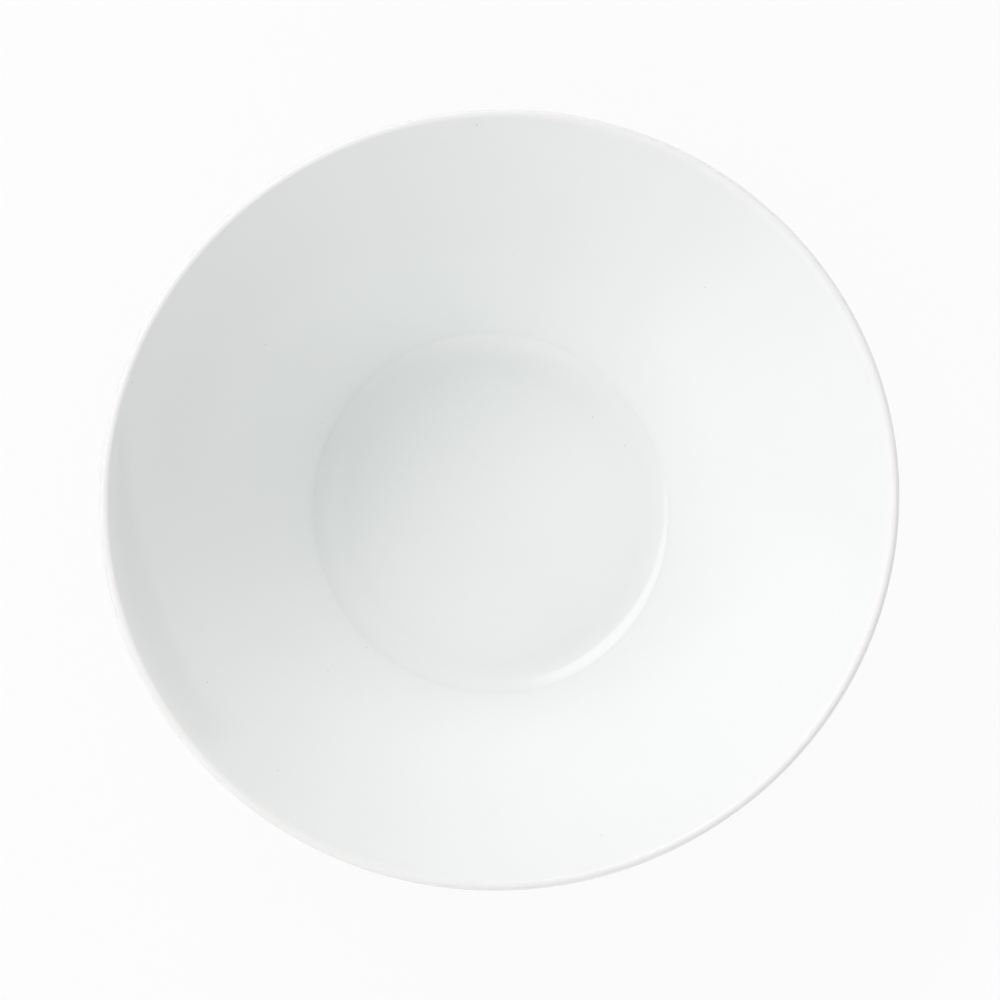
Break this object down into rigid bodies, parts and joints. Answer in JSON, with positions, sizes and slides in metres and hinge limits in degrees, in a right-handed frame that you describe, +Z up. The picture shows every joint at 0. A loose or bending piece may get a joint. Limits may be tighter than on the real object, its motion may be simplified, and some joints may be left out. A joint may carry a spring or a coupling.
{
  "type": "salad bowl",
  "caption": "Wide conical white porcelain salad bowl with a crisp crease round its floor, a rounded lip and a low foot ring that is bare where it stands.",
  "frame": {"origin": "on the table, under the middle of the rim", "axes": "+Z up out of the bowl, +X along the long diameter of the slightly oval rim, +Y along its short one"},
  "size_m": [0.284, 0.2764, 0.082],
  "materials": {
    "bare_porcelain": "matt, unglazed and ground smooth",
    "white_glaze": "clear gloss over white",
    "underside_glaze": "clear gloss over white, thinner"
  },
  "bodies": {
    "root": {"porcelain_body": "bare_porcelain", "glaze_coat": "white_glaze", "base_glaze": "underside_glaze"}
  },
  "joints": []
}
